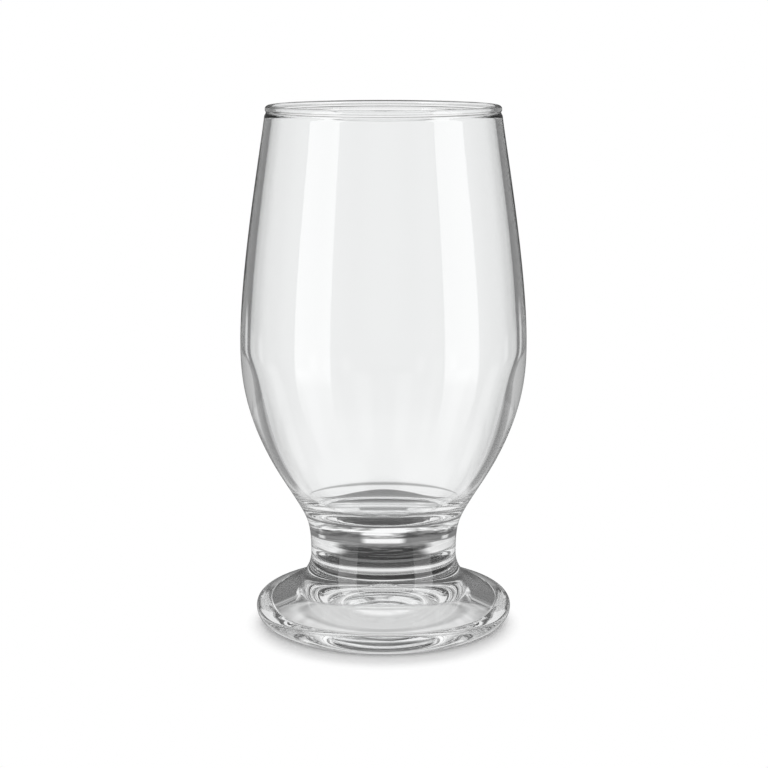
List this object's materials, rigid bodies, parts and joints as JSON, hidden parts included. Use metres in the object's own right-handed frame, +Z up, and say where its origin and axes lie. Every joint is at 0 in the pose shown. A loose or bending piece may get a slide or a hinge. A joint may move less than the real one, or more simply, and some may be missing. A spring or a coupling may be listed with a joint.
{
  "type": "footed water goblet",
  "caption": "Clear glass water goblet with an egg-shaped open bowl, a short thick waisted stem and a round rounded-edge foot that rests on a flat ring.",
  "frame": {"origin": "centre of the foot's resting ring, on the surface that the goblet stands on", "axes": "+Z up along the turned axis, towards the rim; the goblet is round, so X and Y are any two level directions"},
  "size_m": [0.0736, 0.0736, 0.134],
  "materials": {
    "bowl_glass": "clear fire-polished glass, colourless",
    "stem_glass": "clear solid glass, colourless",
    "foot_glass": "clear pressed glass, colourless"
  },
  "bodies": {
    "root": {"bowl": "bowl_glass", "stem": "stem_glass", "foot": "foot_glass"}
  },
  "joints": []
}
